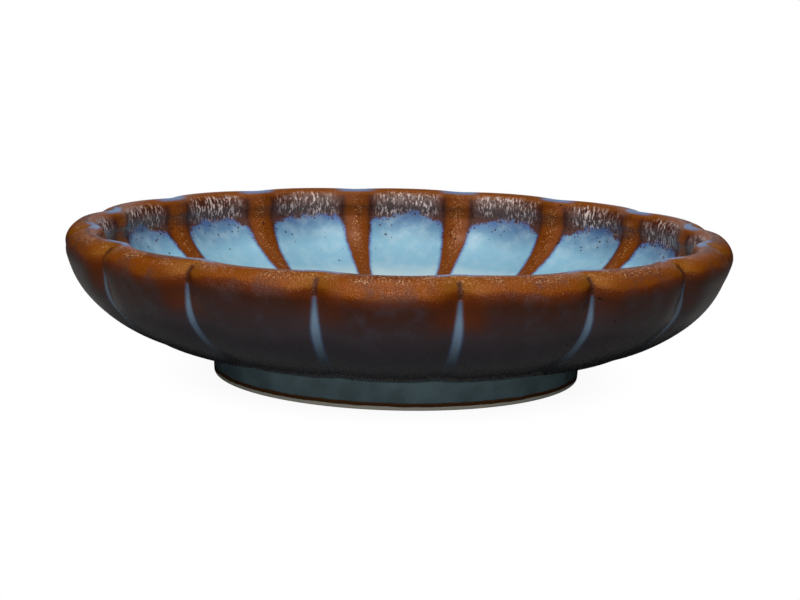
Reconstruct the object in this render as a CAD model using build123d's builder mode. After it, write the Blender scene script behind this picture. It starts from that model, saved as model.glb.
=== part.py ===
"""Lobed bonsai pot: a pressed stoneware bowl on a luted ring foot, with its drain screen and wire clip.

Millimetres, +Z up. The origin is the centre of the foot's contact face, so the pot stands on z = 0.
A lobe's crest lies on +X, and one on -Y, which is the pot's front.
"""

import os
from math import asin, atan, cos, degrees, radians, sin, sqrt, tan

from build123d import *

# Bowl, outside
rim_radius = 110.0  # from the axis to the crest of a lobe, at the lip
pot_height = 49.0  # from the contact face to the top of the lip
lobe_count = 16
groove_depth = 4.5  # of the grooves between lobes, measured towards the axis
groove_softness = 1.3  # how much of each lobe the groove's rounding takes
wall_centre_radius = 55.0  # the outer wall is a quarter ellipse about this radius
wall_centre_drop = 2.8  # from the top of the lip down to the ellipse's centre
wall_turns_at = 15.0  # degrees round that ellipse at which the lip begins
wall_steps = 10  # between the sections of the outer wall

# Lip
lip_outside = 6.6  # from the middle of the lip's top to its outer side, on a lobe's crest
lip_inside = 4.2  # from there to its inner side
lip_rise = 7.0  # height of the rounded part of the lip
lip_land = 0.8  # width of the level top between the lip's two rounded sides
lip_steps = 4  # between the sections of each rounded side

# Bowl, inside
floor_radius = 49.5  # of the flat floor
floor_thickness = 7.2
wall_thickness = 8.4  # just under the lip
rib_height = 3.3  # of the ribs that answer the grooves
rib_softness = 3.6  # how much of each lobe the rib's rounding takes
inner_steps = 10  # between the sections of the inner wall

# Grooves and ribs, towards the foot and the floor
fade_power = 6  # the higher it is, the longer they keep their depth
fade_end = 0.12  # share of their depth that is left at the end

# Ring foot
foot_height = 9.9
foot_top_radius = 61.0
foot_bottom_radius = 60.5
foot_width = 6.0
foot_edge = 0.6  # rounding of the contact face's two edges
foot_seat = 2.0  # flat underside left outside the foot

# Drain
drain_radius = 11.0
drain_edge = 1.2  # rounding of both mouths of the drain hole

# Drain screen
screen_cells = 11  # along each side
screen_pitch = 3.6
screen_bar = 1.0
screen_thickness = 0.9

# Wire clip that holds the screen
wire_diameter = 1.5
wire_clearance = 0.1  # to the screen and to the underside
leg_cells = 2  # cells from the middle of the screen to each leg
leg_reach = 10.0  # of each bent leg along the underside
wing_reach = 10.5  # of each wing beyond its leg
wing_spread = 4.0  # of each wing, to both sides of the middle line
leg_bend = 1.8  # radius of the wire's centreline where a leg turns
wing_bend = 3.0  # and round a wing

floor_height = foot_height + floor_thickness
lip_base = pot_height - lip_rise
wall_centre_height = pot_height - wall_centre_drop
underside_radius = foot_top_radius + foot_seat
half_lobe = 180.0 / lobe_count


def polar(radius, angle):
    """A point at a radius and an angle in degrees."""
    return (radius * cos(radians(angle)), radius * sin(radians(angle)))


def corner_radius(crest, depth, trim):
    """Radius that rounds the corner between two lobes and takes the length trim of each."""
    half_chord = (crest - depth) * sin(radians(half_lobe))
    rise = crest - (crest - depth) * cos(radians(half_lobe))
    turn = 2 * (2 * degrees(atan(rise / half_chord)) - half_lobe)
    return trim / tan(radians(turn / 2))


def lobed_section(height, crest, depth, trim):
    """One level section of the bowl: an arc for each lobe, and rounded corners between them."""
    notch = crest - depth
    with BuildSketch(Plane.XY.offset(height)) as section:
        with BuildLine():
            for lobe in range(lobe_count):
                middle = 2 * half_lobe * lobe
                ThreePointArc(
                    polar(notch, middle - half_lobe),
                    polar(crest, middle),
                    polar(notch, middle + half_lobe),
                )
        make_face()
        fillet(section.vertices(), corner_radius(crest, depth, trim))
    return section


def fade(radius, start, end):
    """Share of a groove or rib that is left at a radius, full at start and almost gone at end."""
    share = (start - radius) / (start - end)
    return max(fade_end, 1 - share**fade_power)


def outer_sections():
    """Height, crest radius, depth and trim of each section of the outer wall, from the foot up."""
    reach = rim_radius - wall_centre_radius
    underside_turn = degrees(asin(sqrt(1 - ((underside_radius - wall_centre_radius) / reach) ** 2)))
    drop = (wall_centre_height - foot_height) / sin(radians(underside_turn))
    for step in range(wall_steps + 1):
        turn = radians(underside_turn + (wall_turns_at - underside_turn) * step / wall_steps)
        crest = wall_centre_radius + reach * cos(turn)
        depth = groove_depth * fade(crest, rim_radius, underside_radius)
        yield wall_centre_height - drop * sin(turn), crest, depth, groove_softness


def lip_sections(side):
    """The sections of one rounded side of the lip, from the wall to the level top: 1 outer, -1 inner."""
    middle = rim_radius - lip_outside
    reach = (lip_outside if side > 0 else lip_inside) - lip_land / 2
    for step in range(lip_steps + 1):
        turn = radians(90 * step / lip_steps)
        inward = 0.5 - side * (0.5 - 0.5 * step / lip_steps)
        yield (
            lip_base + lip_rise * sin(turn),
            middle + side * (lip_land / 2 + reach * cos(turn)),
            groove_depth + (rib_height - groove_depth) * inward,
            groove_softness + (rib_softness - groove_softness) * inward,
        )


def inner_sections():
    """The sections of the inner wall, from the floor up to the lip."""
    wall_inside = rim_radius - wall_thickness
    reach = wall_inside - floor_radius
    drop = wall_centre_height - floor_height
    for step in range(inner_steps + 1):
        turn = radians(90 + (wall_turns_at - 90) * step / inner_steps)
        crest = floor_radius + reach * cos(turn)
        depth = rib_height * fade(crest, wall_inside, floor_radius)
        yield wall_centre_height - drop * sin(turn), crest, depth, rib_softness


def make_bowl():
    """The pressed bowl: a lobed body hollowed from the lip down to the floor, with the drain hole."""
    body = [*outer_sections(), *lip_sections(1)]
    hollow = [*inner_sections(), *lip_sections(-1)]
    with BuildPart() as bowl:
        loft([lobed_section(*section).sketch for section in body])
        loft([lobed_section(*section).sketch for section in hollow], mode=Mode.SUBTRACT)
        with Locations((0, 0, floor_height)):
            Hole(drain_radius)
        fillet(bowl.edges(Select.LAST).filter_by(GeomType.CIRCLE), drain_edge)
    return bowl


def make_foot_ring():
    """The ring foot, luted to the flat underside face to face."""
    inner_top = foot_top_radius - foot_width
    inner_bottom = foot_bottom_radius - foot_width
    with BuildPart() as foot_ring:
        with BuildSketch(Plane.XZ) as profile:
            with BuildLine():
                Polyline(
                    (inner_bottom, 0),
                    (foot_bottom_radius, 0),
                    (foot_top_radius, foot_height),
                    (inner_top, foot_height),
                    close=True,
                )
            make_face()
            fillet(profile.vertices().group_by(Axis.Y)[0], foot_edge)
        revolve(axis=Axis.Z)
    return foot_ring


def make_drain_screen():
    """The square plastic mesh that lies on the floor over the drain hole."""
    side = screen_cells * screen_pitch + screen_bar
    opening = screen_pitch - screen_bar
    with BuildPart() as drain_screen:
        with BuildSketch(Plane.XY.offset(floor_height)):
            RectangleRounded(side, side, screen_bar)
            with GridLocations(screen_pitch, screen_pitch, screen_cells, screen_cells):
                Rectangle(opening, opening, mode=Mode.SUBTRACT)
        extrude(amount=screen_thickness)
    return drain_screen


def make_screen_clip():
    """The bent wire that holds the screen: a bow on top, and two legs turned out under the floor."""
    wire_radius = wire_diameter / 2
    above = floor_height + screen_thickness + wire_clearance + wire_radius
    below = foot_height - wire_clearance - wire_radius
    leg = leg_cells * screen_pitch
    wing_middle = leg + wing_reach / 2
    half_wire = [
        (-leg - leg_reach, 0, below),
        (-leg, 0, below),
        (-leg, 0, above),
        (-wing_middle, wing_spread, above),
        (-leg - wing_reach, 0, above),
        (-wing_middle, -wing_spread, above),
    ]
    other_half = [(-x, -y, z) for x, y, z in reversed(half_wire)]
    half_bends = [leg_bend, leg_bend, wing_bend, wing_bend, wing_bend]
    with BuildPart() as screen_clip:
        with BuildLine():
            FilletPolyline(half_wire + other_half, radius=half_bends + half_bends[::-1])
        with BuildSketch(Plane(origin=half_wire[0], z_dir=(1, 0, 0))):
            Circle(wire_radius)
        sweep()
    return screen_clip


os.makedirs("parts", exist_ok=True)
pieces = {
    "bowl": make_bowl(),
    "foot_ring": make_foot_ring(),
    "drain_screen": make_drain_screen(),
    "screen_clip": make_screen_clip(),
}
for name, piece in pieces.items():
    piece.part.label = name
    export_step(piece.part, f"parts/{name}.step")
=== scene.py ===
"""Looks of the lobed bonsai pot: its glazed bowl and ring foot, the drain screen and the wire clip.

Metres, in the frame of the construction model: +Z up, and the pot stands on z = 0 with its front at -Y.
"""
import logging
import math
from dataclasses import dataclass, field
from enum import Enum
from functools import reduce
from typing import NamedTuple

import bpy
import numpy as np
from mathutils import Matrix, Vector


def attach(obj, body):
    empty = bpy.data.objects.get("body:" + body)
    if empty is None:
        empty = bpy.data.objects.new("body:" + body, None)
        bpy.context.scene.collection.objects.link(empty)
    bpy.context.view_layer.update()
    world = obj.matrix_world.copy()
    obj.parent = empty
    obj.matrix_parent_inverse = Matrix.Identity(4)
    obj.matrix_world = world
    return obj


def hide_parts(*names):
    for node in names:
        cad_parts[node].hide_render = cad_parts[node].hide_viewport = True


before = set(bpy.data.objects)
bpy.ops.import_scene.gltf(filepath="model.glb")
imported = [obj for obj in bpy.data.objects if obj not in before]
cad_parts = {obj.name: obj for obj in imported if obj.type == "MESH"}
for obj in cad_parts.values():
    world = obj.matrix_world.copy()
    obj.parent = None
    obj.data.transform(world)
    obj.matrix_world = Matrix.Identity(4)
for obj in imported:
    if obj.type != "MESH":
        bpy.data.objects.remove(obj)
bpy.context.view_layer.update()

log = logging.getLogger("bonsai_pot")

MM = 0.001
SEAM = 0.001 * MM
BODY = "root"
Socket = bpy.types.NodeSocket
Colour = tuple[float, float, float, float]
Reading = float | tuple | Socket
Run = tuple[tuple[float, Colour], ...]


def tone(red: float, green: float, blue: float) -> Colour:
    """An opaque colour, given in linear light."""
    return (red, green, blue, 1.0)


WHITE = tone(1.0, 1.0, 1.0)
WARM = tone(1.0, 0.93, 0.84)
COOL = tone(0.92, 0.97, 1.0)
BLUE = tone(0.80, 0.88, 1.0)


class Slope(NamedTuple):
    """A smooth step between two readings, and what it gives before and after them."""

    low: float
    high: float
    before: float = 0.0
    after: float = 1.0


class Band(NamedTuple):
    """A stretch between two readings, and the width of the soft edge on both sides of it."""

    low: float
    high: float
    edge: float


class Noise(NamedTuple):
    """Smooth noise: blotches to the metre, finer layers, their strength, and which of its patterns it is."""

    scale: float
    layers: float
    strength: float
    seed: Reading


class Pits(NamedTuple):
    """Scattered pits: how many to the metre, their size as a share of their spacing, and how many are left out."""

    count: float
    size: float
    rarity: Reading


class Fray(NamedTuple):
    """How a ragged edge is broken up: the width of its soft part, and how far noise moves it."""

    edge: float
    reach: Reading


class Veil(NamedTuple):
    """A colour laid over a glaze along a band, at a strength from 0 to 1."""

    colour: Colour
    band: Band
    strength: float = 1.0


# ---------------------------------------------------------------------------
# Node trees
# ---------------------------------------------------------------------------


class Graph:
    """Adds nodes to one node tree and links them."""

    def __init__(self, tree: bpy.types.NodeTree) -> None:
        """Keeps the tree that the nodes go into."""
        self.tree = tree

    def add(self, kind: str, inputs: dict[int | str, Reading] | None = None, **settings: object) -> bpy.types.Node:
        """Adds one node.

        Args:
            kind: Blender's type name of the node.
            inputs: Sockets, by name or number, and the value or the socket that each takes.
            settings: The node's own properties.

        Returns:
            The new node.
        """
        node = self.tree.nodes.new(kind)
        for name, value in settings.items():
            setattr(node, name, value)
        for key, value in (inputs or {}).items():
            self.put(node.inputs[key], value)
        return node

    def put(self, socket: Socket, value: Reading) -> None:
        """Links a socket to another, or sets its value.

        Args:
            socket: The input.
            value: The output or the value that it takes.
        """
        if isinstance(value, bpy.types.NodeSocket):
            self.tree.links.new(value, socket)
        else:
            socket.default_value = value

    def math(self, operation: str, first: Reading, second: Reading = 0.0) -> Socket:
        """One operation on one or two numbers."""
        return self.add("ShaderNodeMath", {0: first, 1: second}, operation=operation).outputs[0]

    def times(self, *factors: Reading) -> Reading:
        """The product of its factors."""
        return reduce(lambda one, other: self.math("MULTIPLY", one, other), factors)

    def plus(self, *terms: Reading) -> Reading:
        """The sum of its terms."""
        return reduce(lambda one, other: self.math("ADD", one, other), terms)

    def minus(self, first: Reading, second: Reading) -> Socket:
        """One number less another."""
        return self.math("SUBTRACT", first, second)

    def vector(self, operation: str, first: Reading, second: Reading = (0.0, 0.0, 0.0)) -> Socket:
        """One operation on vectors.

        Args:
            operation: What is done.
            first: The first vector.
            second: The second vector, or the number that scales the first.

        Returns:
            The result, a vector or a number.
        """
        place = "Scale" if operation == "SCALE" else 1
        node = self.add("ShaderNodeVectorMath", {0: first, place: second}, operation=operation)
        return node.outputs["Value" if operation == "LENGTH" else "Vector"]

    def join(self, x: Reading, y: Reading, z: Reading) -> Socket:
        """A vector from its three parts."""
        return self.add("ShaderNodeCombineXYZ", {0: x, 1: y, 2: z}).outputs[0]

    def part(self, vector: Socket, axis: int) -> Socket:
        """One part of a vector, 0 to 2."""
        return self.add("ShaderNodeSeparateXYZ", {0: vector}).outputs[axis]

    def place(self) -> Socket:
        """The place on the object, in metres."""
        return self.add("ShaderNodeTexCoord").outputs["Object"]

    def off_axis(self, place: Socket) -> Socket:
        """How far a place is from the axis, in millimetres."""
        return self.vector("LENGTH", self.vector("MULTIPLY", place, (1.0 / MM, 1.0 / MM, 0.0)))

    def rise(self, value: Reading, low: Reading, high: Reading, before: Reading = 0.0, after: Reading = 1.0) -> Socket:
        """A smooth step.

        Args:
            value: What is read.
            low: Where the step begins.
            high: Where the step ends.
            before: The result before the step.
            after: The result after the step.

        Returns:
            The stepped value.
        """
        inputs = {0: value, 1: low, 2: high, 3: before, 4: after}
        return self.add("ShaderNodeMapRange", inputs, interpolation_type="SMOOTHSTEP").outputs[0]

    def blend(self, share: Reading, first: Reading, second: Reading) -> Socket:
        """A number that passes smoothly from one to another as a share goes from 0 to 1."""
        return self.rise(share, 0.0, 1.0, first, second)

    def band(self, value: Socket, low: float, high: float, edge: float) -> Socket:
        """1 between two values, falling smoothly to 0 within an edge on both sides."""
        return self.times(self.rise(value, low - edge, low), self.rise(value, high, high + edge, 1.0, 0.0))

    def noise(self, where: Reading, scale: float, layers: float, strength: float, seed: Reading) -> Socket:
        """Smooth noise from 0 to 1.

        Args:
            where: The place that is read.
            scale: Blotches for each unit of length.
            layers: How many finer layers it has.
            strength: How strong the finer layers are.
            seed: Which of the many patterns it is.

        Returns:
            The noise.
        """
        inputs = {"Vector": where, "W": seed, "Scale": scale, "Detail": layers, "Roughness": strength}
        return self.add("ShaderNodeTexNoise", inputs, noise_dimensions="4D").outputs[0]

    def mix(self, share: Reading, first: Reading, second: Reading) -> Socket:
        """A colour between two colours."""
        return self.add("ShaderNodeMix", {0: share, 6: first, 7: second}, data_type="RGBA").outputs[2]

    def lay(self, under: Reading, over: Reading, *masks: Reading) -> Socket:
        """A colour with another laid over it, as strongly as the product of the masks."""
        return self.mix(self.times(*masks), under, over)

    def veil(self, under: Reading, value: Socket, veil: Veil, *masks: Reading) -> Socket:
        """A colour with a veil laid over it, where the value is in the veil's band and the masks let it show."""
        return self.lay(under, veil.colour, self.band(value, *veil.band), *masks, veil.strength)

    def ramp(self, value: Socket, stops: Run) -> Socket:
        """A colour read from a row of stops.

        Args:
            value: What is read.
            stops: Each stop's place, in the value's own units, and its colour.

        Returns:
            The colour.
        """
        low, high = stops[0][0], stops[-1][0]
        share = self.add("ShaderNodeMapRange", {0: value, 1: low, 2: high}).outputs[0]
        node = self.add("ShaderNodeValToRGB", {0: share})
        elements = node.color_ramp.elements
        while len(elements) < len(stops):
            elements.new(0.5)
        for element, (place, colour) in zip(elements, stops):
            element.position = (place - low) / (high - low)
            element.color = colour
        return node.outputs[0]


class GroupMaker:
    """Makes a shader node group with named inputs and outputs."""

    def __init__(self, name: str, takes: dict[str, float | None], gives: dict[str, str]) -> None:
        """Makes the empty group.

        Args:
            name: The group's name.
            takes: Each input's name and first value, or None where it takes a vector.
            gives: Each output's name and type.
        """
        self.tree = bpy.data.node_groups.new(name, "ShaderNodeTree")
        sockets = self.tree.interface
        for label, value in takes.items():
            kind = "Vector" if value is None else "Float"
            socket = sockets.new_socket(label, in_out="INPUT", socket_type=f"NodeSocket{kind}")
            if value is not None:
                socket.default_value = value
        for label, kind in gives.items():
            sockets.new_socket(label, in_out="OUTPUT", socket_type=f"NodeSocket{kind}")
        self.graph = Graph(self.tree)
        self.inputs = self.graph.add("NodeGroupInput").outputs
        self.results = self.graph.add("NodeGroupOutput").inputs

    def give(self, name: str, value: Reading) -> None:
        """Sends a value out of the group."""
        self.graph.put(self.results[name], value)


# ---------------------------------------------------------------------------
# Effects that several finishes share
# ---------------------------------------------------------------------------


def make_pinholes() -> bpy.types.NodeTree:
    """Makes the group that scatters small dark pits in a glaze.

    Returns:
        A group that takes a place, a count per metre, a size and a rarity, and gives a mask that is 1 in each pit.
    """
    takes = {"Place": None, "Count": 160.0, "Size": 0.1, "Rarity": 0.6}
    maker = GroupMaker("pinholes", takes, {"Mask": "Float"})
    graph, inputs = maker.graph, maker.inputs
    cells = graph.add("ShaderNodeTexVoronoi", {"Vector": inputs["Place"], "Scale": inputs["Count"]}).outputs
    size = graph.times(inputs["Size"], graph.part(cells["Color"], 1))
    pit = graph.rise(cells["Distance"], graph.times(size, 0.5), size, 1.0, 0.0)
    chosen = graph.math("GREATER_THAN", graph.part(cells["Color"], 0), inputs["Rarity"])
    maker.give("Mask", graph.times(pit, chosen))
    return maker.tree


def make_ragged_edge() -> bpy.types.NodeTree:
    """Makes the group that cuts a mask at a level whose edge is broken up by noise.

    Returns:
        A group that takes a value, a level, an edge width, a noise and its reach, and gives 1 above the ragged level.
    """
    takes = {"Value": 0.0, "Level": 0.0, "Edge": 1.0, "Noise": 0.5, "Reach": 1.0}
    maker = GroupMaker("ragged_edge", takes, {"Mask": "Float"})
    graph, inputs = maker.graph, maker.inputs
    moved = graph.plus(inputs["Level"], graph.times(graph.minus(inputs["Noise"], 0.5), inputs["Reach"]))
    maker.give("Mask", graph.rise(inputs["Value"], moved, graph.plus(moved, inputs["Edge"])))
    return maker.tree


@dataclass(frozen=True)
class BareClay:
    """Fired clay with no glaze: a pale grain with iron specks."""

    dull: Colour = tone(0.27, 0.235, 0.185)
    pale: Colour = tone(0.40, 0.355, 0.285)
    iron: Colour = tone(0.09, 0.05, 0.03)
    shade: Colour = tone(0.16, 0.13, 0.10)
    grain: Noise = Noise(900.0, 4.0, 0.6, 2.0)
    cloud: Noise = Noise(60.0, 3.0, 0.5, 3.0)
    iron_noise: Noise = Noise(700.0, 1.0, 0.4, 4.0)
    iron_level: Slope = Slope(0.68, 0.74)
    iron_strength: float = 0.8
    shade_strength: float = 0.25

    def make(self) -> bpy.types.NodeTree:
        """Makes the clay's group.

        Returns:
            A group that takes a place and gives the clay's colour and the height of its grain.
        """
        maker = GroupMaker("bare_clay", {"Place": None}, {"Color": "Color", "Height": "Float"})
        graph, place = maker.graph, maker.inputs["Place"]
        grain = graph.noise(place, *self.grain)
        colour = graph.mix(graph.noise(place, *self.cloud), self.dull, self.pale)
        iron = graph.rise(graph.noise(place, *self.iron_noise), *self.iron_level)
        colour = graph.lay(colour, self.iron, iron, self.iron_strength)
        maker.give("Color", graph.lay(colour, self.shade, grain, self.shade_strength))
        maker.give("Height", grain)
        return maker.tree


class Effects:
    """The shared effects, each made once, and placed in any material."""

    def __init__(self) -> None:
        """Makes the groups."""
        self.pinholes = make_pinholes()
        self.ragged_edge = make_ragged_edge()
        self.bare_clay = BareClay().make()

    def pits(self, graph: Graph, place: Socket, count: float, size: float, rarity: Reading) -> Socket:
        """The mask of scattered pits."""
        inputs = {"Place": place, "Count": count, "Size": size, "Rarity": rarity}
        return graph.add("ShaderNodeGroup", inputs, node_tree=self.pinholes).outputs["Mask"]

    def above(self, graph: Graph, value: Socket, level: Reading, fray: Fray, noise: Socket) -> Socket:
        """The mask of what lies above a ragged level."""
        inputs = {"Value": value, "Level": level, "Edge": fray.edge, "Noise": noise, "Reach": fray.reach}
        return graph.add("ShaderNodeGroup", inputs, node_tree=self.ragged_edge).outputs["Mask"]

    def clay(self, graph: Graph, place: Socket) -> bpy.types.bpy_prop_collection:
        """The colour of bare clay and the height of its grain."""
        return graph.add("ShaderNodeGroup", {"Place": place}, node_tree=self.bare_clay).outputs


# ---------------------------------------------------------------------------
# Finishes
# ---------------------------------------------------------------------------


class Slot(Enum):
    """Names for the material slots; nothing in this script uses them."""

    BOWL = "bowl_glaze"
    FOOT = "foot_glaze"
    SCREEN = "screen_plastic"
    CLIP = "clip_wire"


def new_finish(name: str, constants: dict[str, float]) -> tuple[bpy.types.Material, Graph, bpy.types.Node]:
    """Makes a material with only its shader.

    Args:
        name: The material's name.
        constants: The shader's sockets that are the same all over the surface.

    Returns:
        The material, the graph of its tree, and the shader node.
    """
    material = bpy.data.materials.new(name)
    material.use_nodes = True
    material.node_tree.nodes.clear()
    graph = Graph(material.node_tree)
    shader = graph.add("ShaderNodeBsdfPrincipled", dict(constants))
    graph.add("ShaderNodeOutputMaterial", {"Surface": shader.outputs[0]})
    return material, graph, shader


def add_bump(graph: Graph, shader: bpy.types.Node, height: Socket, depth: float) -> None:
    """Turns a height into relief, which the surface and its clear coat both take.

    Args:
        graph: The material's graph.
        shader: The material's shader.
        height: The height, from 0 to 1.
        depth: What a height of 1 stands for, in metres.
    """
    bump = graph.add("ShaderNodeBump", {"Strength": 1.0, "Distance": depth, "Height": height})
    graph.put(shader.inputs["Normal"], bump.outputs[0])
    graph.put(shader.inputs["Coat Normal"], bump.outputs[0])


class Palette:
    """The colours that the bowl's glaze takes in more than one place, and one painted highlight colour that it uses
    twice.
    """

    GOLD = tone(0.20, 0.068, 0.005)
    AMBER = tone(0.185, 0.045, 0.002)
    RUST = tone(0.095, 0.018, 0.002)
    MAROON = tone(0.04, 0.01, 0.006)
    BROWN = tone(0.046, 0.014, 0.007)
    MAUVE = tone(0.088, 0.036, 0.027)
    # Painted highlight: a pale gold that stands in for the lamps' sparkle on the glaze's crystals, not a colour of the
    # glaze.
    PAINTED_GLINT = tone(0.50, 0.28, 0.14)
    EDGE_BLUE = tone(0.085, 0.15, 0.36)


class GlazeReadings:
    """What the bowl's glaze is read from.

    The depth is measured along the wall from the lip's crest, in millimetres: positive inside, negative outside. The
    place across a lobe is 0 on its crest and 1 in the groove.
    """

    BLOTCH = Noise(34.0, 2.0, 0.5, 11.0)
    CLOUD = Noise(130.0, 3.0, 0.6, 12.0)
    CRYSTAL = Noise(1700.0, 3.0, 0.6, 13.0)
    CRYSTAL_LEVEL = Slope(0.34, 0.66)
    HAIR = Noise(1300.0, 2.0, 0.6, 14.0)
    HAIR_STRETCH = (1.0, 1.0, 0.34)
    FINE = Noise(1500.0, 3.0, 0.75, 15.0)
    FINE_SHARE = 0.6
    PATCH = Noise(200.0, 3.0, 0.6, 16.0)

    def __init__(self, graph: Graph, effects: Effects) -> None:
        """Adds the attribute and noise nodes.

        Args:
            graph: The material's graph.
            effects: The shared effects.
        """
        self.graph, self.effects = graph, effects
        flow = self.attribute("flow", "Vector")
        self.place = graph.place()
        self.depth = graph.times(self.attribute("along"), 1.0 / MM)
        self.across = self.attribute("across")
        self.blotch = graph.noise(flow, *self.BLOTCH)
        self.cloud = graph.noise(self.place, *self.CLOUD)
        self.crystal = graph.rise(graph.noise(self.place, *self.CRYSTAL), *self.CRYSTAL_LEVEL)
        self.hair = graph.noise(graph.vector("MULTIPLY", flow, self.HAIR_STRETCH), *self.HAIR)
        self.patch = graph.noise(flow, *self.PATCH)
        fine = graph.times(graph.noise(flow, *self.FINE), self.FINE_SHARE)
        self.grain = graph.plus(fine, graph.times(self.patch, 1.0 - self.FINE_SHARE))

    def attribute(self, name: str, output: str = "Fac") -> Socket:
        """A value that the bowl's mesh carries."""
        return self.graph.add("ShaderNodeAttribute", attribute_name=name).outputs[output]

    def swing(self, reach: float) -> Socket:
        """How far the broad blotches move a level, at most half the reach either way."""
        return self.graph.times(self.graph.minus(self.blotch, 0.5), reach)

    def above(self, value: Socket, level: Reading, fray: Fray, noise: Socket) -> Socket:
        """The mask of what lies above a ragged level."""
        return self.effects.above(self.graph, value, level, fray, noise)


@dataclass(frozen=True)
class OutsideGlaze:
    """The outer wall's glaze: amber at the lip, dark below, with a blue streak in each groove.

    Levels are in millimetres along the wall below the lip's crest.
    """

    dark: Colour = tone(0.042, 0.032, 0.037)
    slate: Colour = tone(0.040, 0.041, 0.046)
    run: Run = (
        (0.0, Palette.RUST),
        (2.5, Palette.AMBER),
        (7.5, Palette.AMBER),
        (9.0, Palette.RUST),
        (12.0, Palette.BROWN),
        (24.0, dark),
        (44.0, slate),
        (64.0, slate),
    )
    run_swing: float = 12.0
    crest_side: Slope = Slope(0.30, 0.85, 1.0, 0.0)
    cloudy: Slope = Slope(0.42, 0.68)
    # Painted reflection: a mauve sheen across the lip's outer side, where the key lamp's soft highlight falls.
    painted_sheen: Veil = Veil(Palette.MAUVE, Band(4.0, 9.0, 3.0), 0.75)
    haze: Veil = Veil(tone(0.05, 0.041, 0.048), Band(16.0, 40.0, 9.0), 0.7)
    bloom: Veil = Veil(Palette.RUST, Band(9.0, 17.0, 6.0), 0.6)
    bloom_side: Slope = Slope(0.45, 0.80)
    bloom_patches: Slope = Slope(0.40, 0.62)
    gilding: Veil = Veil(Palette.GOLD, Band(3.0, 6.5, 2.5))
    gilding_side: Slope = Slope(0.55, 0.92)
    gilding_grain: Slope = Slope(0.1, 0.9, 0.45, 1.0)
    # Painted highlight: pale gold sparkles on the crystals along the lip's upper shoulder, where the lamps' glints
    # fall.
    painted_glints: Veil = Veil(Palette.PAINTED_GLINT, Band(1.5, 4.0, 1.6), 0.8)
    glint_grain: Slope = Slope(0.62, 0.95)
    glint_patches: Slope = Slope(0.36, 0.60)
    # Painted shade: dark brown in the bottom of each groove just under the lip, where the notch's crease lies in
    # shadow.
    notch_shade: Veil = Veil(Palette.BROWN, Band(5.0, 9.5, 1.5), 0.9)
    notch_shade_side: Slope = Slope(0.93, 0.99)
    streak_run: Run = (
        (9.5, tone(0.055, 0.085, 0.15)),
        (18.0, tone(0.135, 0.20, 0.275)),
        (26.0, tone(0.135, 0.20, 0.275)),
        (38.0, tone(0.034, 0.052, 0.062)),
        (60.0, tone(0.034, 0.052, 0.062)),
    )
    streak_starts: Slope = Slope(9.5, 12.0)
    streak_band: Band = Band(12.0, 34.0, 14.0)
    streak_side: Slope = Slope(9.5, 26.0, 0.94, 0.88)
    streak_fray: Fray = Fray(0.08, 0.05)
    streak_edge: Colour = tone(0.05, 0.075, 0.16)
    streak_heart: Slope = Slope(0.90, 0.97)

    def colour(self, at: GlazeReadings) -> Socket:
        """Colours the outer wall.

        Args:
            at: The places and noises that the glaze is read from.

        Returns:
            The colour.
        """
        graph, across = at.graph, at.across
        down = graph.times(at.depth, -1.0)
        crest_side, cloudy = graph.rise(across, *self.crest_side), graph.rise(at.cloud, *self.cloudy)
        bloom = graph.rise(across, *self.bloom_side), graph.rise(at.blotch, *self.bloom_patches)
        gilding = graph.rise(across, *self.gilding_side), graph.rise(at.crystal, *self.gilding_grain)
        painted_glints = graph.rise(at.crystal, *self.glint_grain), graph.rise(at.cloud, *self.glint_patches)
        colour = graph.ramp(graph.minus(down, at.swing(self.run_swing)), self.run)
        # Painted reflection: the key lamp's soft sheen on the lip, laid in as colour.
        colour = graph.veil(colour, down, self.painted_sheen, crest_side, cloudy)
        colour = graph.veil(colour, down, self.haze, crest_side, cloudy)
        colour = graph.veil(colour, down, self.bloom, *bloom)
        colour = graph.veil(colour, down, self.gilding, *gilding)
        # Painted highlight: the lamps' sparkle on the lip's crystals, laid in as colour.
        colour = graph.veil(colour, down, self.painted_glints, *painted_glints)
        # Painted shade in each notch's crease.
        colour = graph.veil(colour, down, self.notch_shade, graph.rise(across, *self.notch_shade_side))
        return self.streak(at, down, colour)

    def streak(self, at: GlazeReadings, down: Socket, colour: Socket) -> Socket:
        """Lays the blue streaks over the wall's colour.

        Args:
            at: The places and noises that the glaze is read from.
            down: The way down from the lip's crest.
            colour: The wall's colour.

        Returns:
            The colour with its streaks.
        """
        graph, across = at.graph, at.across
        streak = at.above(across, graph.rise(down, *self.streak_side), self.streak_fray, at.grain)
        length = graph.times(graph.band(down, *self.streak_band), graph.rise(down, *self.streak_starts))
        run = graph.ramp(down, self.streak_run)
        run = graph.mix(graph.rise(across, *self.streak_heart), self.streak_edge, run)
        return graph.lay(colour, run, streak, length)


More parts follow.
